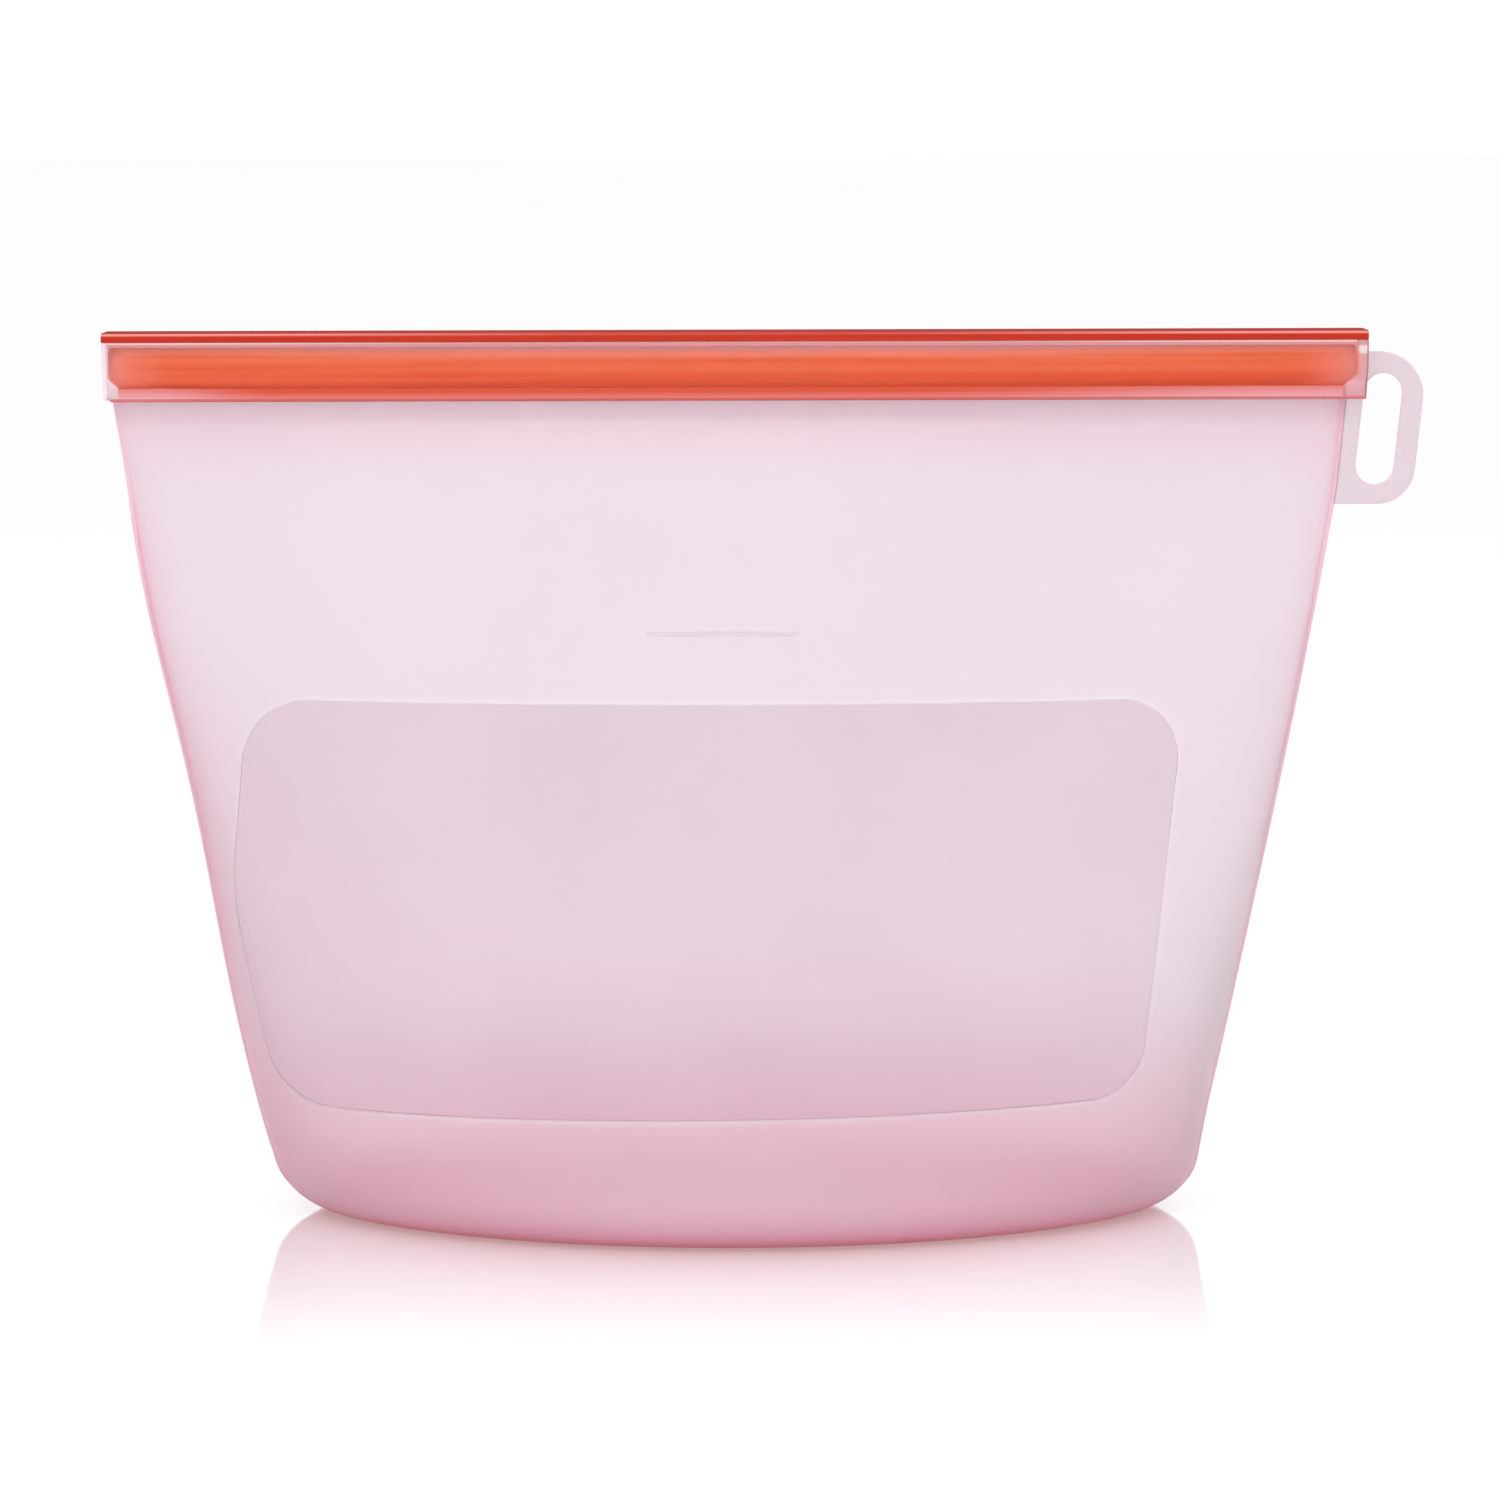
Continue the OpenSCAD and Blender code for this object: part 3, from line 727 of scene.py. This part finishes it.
def mouth_bead(name, side):
    """A bead along the mouth, thinner and round-cornered at its ends, with slightly uneven faces."""
    gap, thick = bead_lo.y, bead_hi.y - bead_lo.y
    # Pressed between the channel's lips and its top
    low, high = bead_lo.z - 0.25 * MM, bead_hi.z + 0.25 * MM
    left, right = bead_lo.x, bead_hi.x - 0.7 * MM
    r = 0.4 * MM
    corners = [(0, 0), (thick, 0), (thick, high - low), (0, high - low)]
    section = even(rounded_outline(corners, [0, r, r, 0], 8), 0.6 * MM)
    from_end = np.array([0, 0.1, 0.3, 0.6, 1.0, 1.5, 2.0, 2.6, 3.4, 4.4, 6.0]) * MM
    middle = np.linspace(left + 10 * MM, right - 10 * MM, 90)
    xs = np.concatenate([left + from_end, middle, right - from_end[::-1]])
    rows, tint = [], []
    for x in xs:
        e = min(x - left, right - x)
        raised = corner_rise(e, 3.6 * MM if x > 0 else 3.0 * MM)
        lowered = corner_rise(e, 2.2 * MM)
        thin = 1 - 0.35 * (1 - smooth(e / (4 * MM)))
        wave = 0.06 * MM * math.sin(x * 41) + 0.05 * MM * math.sin(x * 97 + side)
        y = gap + (section[:, 0] + wave * section[:, 0] / thick) * thin
        z = low + raised + section[:, 1] * (1 - (raised + lowered) / (high - low))
        rows.append(np.stack([np.full(len(section), x), side * y, z], -1))
        # The ends are pinker where thin, and are also painted lighter as painted light against the shade
        # inside the bar.
        rosy = 0.45 * (1 - smooth(e / (16 * MM))) + 0.55 * (1 - smooth(e / (5 * MM)))
        tint.append(np.full(len(section), rosy))
    b = Builder()
    b.grid(np.array(rows), wrap=True, tint=np.array(tint))
    for row in (rows[0], rows[-1]):
        b.fan(row, row.mean(axis=0), steps=4, tint=1.0)
    return b.build(name, [BEAD], 50)


# ---------------------------------------------------------------- hang loop

LOOP_TOP_R, LOOP_LOW_R = 10.5 * MM, 9 * MM
SLOT_W, SLOT_L = 9.2 * MM, 26.6 * MM
SLOT_CENTRE = np.array([bead_hi.x + 5.1 * MM, loop_hi.z - 18.4 * MM])
LOOP_LEAN = math.radians(6)


def seam_x(z):
    return skin(0.0, ARC + np.asarray(z) - EDGE_R, 0.0, 1)[..., 0] + SEAM_NOSE


def slot_points(outline):
    """For each point of the tab's outline, the point of the slot's edge in the same direction from the slot's
    middle."""
    cos, sin = math.cos(LOOP_LEAN), math.sin(LOOP_LEAN)
    lean = np.array([[cos, -sin], [sin, cos]])
    d = (outline - SLOT_CENTRE) @ lean.T
    d /= np.linalg.norm(d, axis=1)[:, None]
    r, straight = SLOT_W / 2, (SLOT_L - SLOT_W) / 2
    side = r / np.maximum(np.abs(d[:, 0]), 1e-9)
    # Where the ray passes above or below the straight sides it meets a round end
    along_y = np.abs(d[:, 1])
    cap = along_y * straight + np.sqrt(np.maximum((along_y * straight) ** 2 - straight**2 + r**2, 0))
    reach = np.where(side * along_y <= straight, side, cap)
    return SLOT_CENTRE + (d * reach[:, None]) @ lean


def hang_loop():
    """Flat tab with a slot, its root along the right seam: rings from the slot's edge to the tab's."""
    top, bottom = loop_hi.z, loop_lo.z
    inner_x, outer_x = bead_hi.x - 1.4 * MM, loop_hi.x + 0.55 * MM
    lower_x = outer_x - (top - bottom) * math.tan(LOOP_LEAN)
    corners = [(inner_x, top), (outer_x, top), (lower_x, bottom), (seam_x(bottom) - 0.6 * MM, bottom)]
    closed = rounded_outline(corners, [0, LOOP_TOP_R, LOOP_LOW_R, 0], 14)
    # The root runs into the seam's ridge
    root_z = np.linspace(bottom, bead_lo.z, 24)[1:]
    root = np.stack([seam_x(root_z) - 0.6 * MM, root_z], -1)
    outline = even(np.concatenate([closed, root, [(inner_x, bead_lo.z)]]), 0.9 * MM)
    slot = slot_points(outline)
    reach = np.linalg.norm(outline - slot, axis=1)
    half, edge = 1.0 * MM, 0.45 * MM
    round_steps = np.linspace(0, math.pi / 2, 6)
    insets = edge * (1 - np.cos(round_steps))
    heights = half - edge + edge * np.sin(round_steps)
    rings, tints = [], []

    def ring(share, y, tint):
        p = slot + (outline - slot) * share[:, None]
        rings.append(np.stack([p[:, 0], np.full(len(p), y), p[:, 1]], -1))
        tints.append(np.full(len(p), tint))

    for inset, y in zip(insets, heights):
        ring(inset / reach, y, 0.22 * (1 - inset / edge))
    for s in np.linspace(0, 1, 9)[1:-1]:
        ring(edge / reach * (1 - s) + (1 - edge / reach) * s, half, 0.0)
    for inset, y in zip(insets[::-1], heights[::-1]):
        ring(1 - inset / reach, y, 0.22 * (1 - inset / edge))
    front = np.array(rings)
    back = front * (1, -1, 1)
    b = Builder()
    b.grid(front, wrap=True, tint=np.array(tints))
    b.grid(back, wrap=True, tint=np.array(tints))
    for k in (0, -1):
        b.grid(np.array([front[k], back[k]]), wrap=True, tint=0.22)
    return b.build("loop_tab", [TAB], 50)


# ---------------------------------------------------------------- slide bar


def drawn(name, outline, left, right, material, edge, leans=None):
    """A drawn profile along X. leans gives how far in the left and right ends lie at each height, for a piece
    that is fused to its end stop at the left."""
    section = even(outline, 1.2 * MM)
    y, z = section[:, 0], section[:, 1]
    start, end = np.full(len(z), left), np.full(len(z), right)
    if leans:
        start += leans[0](z)
        end -= leans[1](z)
    rows = np.array([np.stack([start + (end - start) * s, y, z], -1) for s in np.linspace(0, 1, 121)])
    b = Builder()
    b.grid(rows, wrap=True)
    piece = b.build(name, [material, FUSED] if leans else [material], 35)
    bm = bmesh.new()
    bm.from_mesh(piece.data)
    ends = [e for e in bm.edges if e.is_boundary]
    bmesh.ops.holes_fill(bm, edges=ends)
    bmesh.ops.recalc_face_normals(bm, faces=bm.faces)
    middle = (left + right) / 2
    if leans:
        for face in bm.faces:
            if face.normal.x < -0.9 and face.calc_center_median().x < middle:
                face.material_index = 1
        ends = [e for e in ends if e.verts[0].co.x > middle]
    bmesh.ops.bevel(bm, geom=ends, offset=edge, segments=2, profile=0.5, affect="EDGES")
    bm.to_mesh(piece.data)
    bm.free()
    piece.data.set_sharp_from_angle(angle=math.radians(35))
    return piece


def right_lean(z):
    """The bar's right end leans in a little over its lower half."""
    return RIGHT_LEAN * smooth((BAR_Z + LEAN_FROM - z) / (LEAN_FROM - LEAN_TO))


def end_lean(z):
    """The bar's left end leans in towards its foot, where the corner is cut."""
    low, high = channel_lo.z, channel_hi.z
    cut = 0.8 * MM
    return 0.5 * MM * (high - z) / (high - low) + np.clip(low + cut - z, 0, cut)


def bar_channel():
    half, low, high = channel_hi.y, channel_lo.z, channel_hi.z
    cheek, web, grip, throat = 1.5 * MM, 0.6 * MM, 2.6 * MM, 1.8 * MM
    corners = [
        (-throat, low), (-half, low), (-half, high), (half, high), (half, low), (throat, low),
        (throat, low + grip), (half - cheek, low + grip), (half - cheek, high - web),
        (cheek - half, high - web), (cheek - half, low + grip), (-throat, low + grip),
    ]
    r = 0.5 * MM
    small = 0.3 * MM
    outline = rounded_outline(corners, [r, r, small, small, r, r, r, small, r, r, small, r], 5)
    left, right = channel_lo.x, channel_hi.x
    return drawn("bar_channel_clear", outline, left, right, CHANNEL, 0.12 * MM, (end_lean, right_lean))


def bar_spine():
    half, low, high = spine_hi.y, spine_lo.z + 0.02 * MM, SPINE_TOP
    r = 0.8 * MM
    corners = [(-half, low), (half, low), (half, high), (-half, high)]
    outline = rounded_outline(corners, [0.2 * MM] * 2 + [r] * 2, 6)
    return drawn("bar_spine_red", outline, spine_lo.x, spine_hi.x, SPINE, 0.15 * MM)


def bar_end_stop():
    half, low, high = stop_hi.y, stop_lo.z, stop_hi.z
    corners = [(-half, low), (half, low), (half, high), (-half, high)]
    outline = rounded_outline(corners, [0.5 * MM] * 2 + [0.3 * MM] * 2, 6)
    right = channel_lo.x - 0.01 * MM
    b = Builder()
    section = even(outline, 1.2 * MM)
    y, z = section[:, 0], section[:, 1]
    start = stop_lo.x + end_lean(z)
    rows = np.array([np.stack([start + (right - stop_lo.x) * s, y, z], -1) for s in (0, 0.5, 1)])
    b.grid(rows, wrap=True)
    for row, number in ((rows[0], 0), (rows[-1], 1)):
        b.fan(row, row.mean(axis=0), steps=6, number=number)
    return b.build("bar_end_clear", [END, FUSED], 35)


dress(pouch_body(), "pouch", "frosted_silicone", "front_wall", "back_wall", "base", "left_seam", "right_seam")
dress(window_pane(), "pouch", "clear_silicone", "window_panel")
dress(fill_line(), "pouch", "frosted_silicone", "fill_mark")
dress(mouth_bead("front_bead_orange", -1), "pouch", "bead_silicone", "front_bead")
dress(mouth_bead("back_bead_orange", 1), "pouch", "bead_silicone", "back_bead")
dress(hang_loop(), "pouch", "frosted_silicone", "hang_loop")
dress(bar_channel(), "slide_bar", "clear_plastic", "bar_channel")
dress(bar_spine(), "slide_bar", "red_plastic", "bar_spine")
dress(bar_end_stop(), "slide_bar", "clear_plastic", "bar_end_stop")

# ---------------------------------------------------------------- stage, light and camera


def world():
    """White all round."""
    scene = bpy.context.scene
    scene.view_settings.view_transform = "Standard"
    scene.world = bpy.data.worlds.new("studio")
    scene.world.use_nodes = True
    background = scene.world.node_tree.nodes["Background"]
    background.inputs["Color"].default_value = (1, 1, 1, 1)
    background.inputs["Strength"].default_value = 1.0


def floor():
    """A white acrylic sheet, lit faintly from below, and polished around the bag."""
    bpy.ops.mesh.primitive_plane_add(size=40)
    plane = bpy.context.object
    plane.name = "floor"
    n = Nodes("floor").set(IOR=1.5, Roughness=0.1, Coat_Roughness=0.06, Emission_Color=(1, 1, 1, 1))
    n.link(n.mix(n.noise(3, 2), (0.52, 0.52, 0.525), (0.53, 0.53, 0.53)), "Base Color")
    across = n.maths("DIVIDE", n.axis("X"), BASE_HALF_W + EDGE_R)
    deep = n.maths("DIVIDE", n.axis("Y"), BASE_HALF_D + EDGE_R)
    out = n.maths("SQRT", n.maths("ADD", n.maths("POWER", across, 2), n.maths("POWER", deep, 2)), 0)
    polish = n.remap(out, 0.9, 3.2, 1.0, 0.0)
    n.link(polish, "Specular IOR Level")
    n.link(polish, "Coat Weight")
    n.link(n.remap(polish, 0, 1, 0.45, 0.32, smooth=False), "Emission Strength")
    plane.data.materials.append(n.material)


def area(name, place, aim, size, power):
    data = bpy.data.lights.new(name, "AREA")
    data.shape = "RECTANGLE"
    data.size, data.size_y = size
    data.energy = power
    lamp = bpy.data.objects.new(name, data)
    lamp.location = place
    lamp.rotation_euler = (Vector(aim) - Vector(place)).to_track_quat("-Z", "Y").to_euler()
    bpy.context.scene.collection.objects.link(lamp)


def camera():
    data = bpy.data.cameras.new("camera")
    data.sensor_width = 36
    data.lens = 125.85
    data.clip_start, data.clip_end = 0.05, 100
    cam = bpy.data.objects.new("camera", data)
    pitch, roll = math.radians(7.14), math.radians(-0.16)
    forward = Vector((0, math.cos(pitch), -math.sin(pitch)))
    level = Vector((1, 0, 0))
    up = level.cross(forward)
    right = math.cos(roll) * level + math.sin(roll) * up
    top = -math.sin(roll) * level + math.cos(roll) * up
    turn = Matrix((right, top, -forward)).transposed().to_4x4()
    turn.translation = Vector((0.0039, -1.25, 0.268))
    cam.matrix_world = turn
    bpy.context.scene.collection.objects.link(cam)
    bpy.context.scene.camera = cam


world()
floor()
area("key", (-1.0, -1.2, 1.4), (0, 0, 0.1), (1.0, 1.0), 5)
area("fill", (1.2, -0.8, 0.9), (0, 0, 0.1), (0.8, 0.8), 2)
area("strip", (0, -0.9, 1.15), (0, 0, 0.15), (1.8, 0.06), 5)
camera()
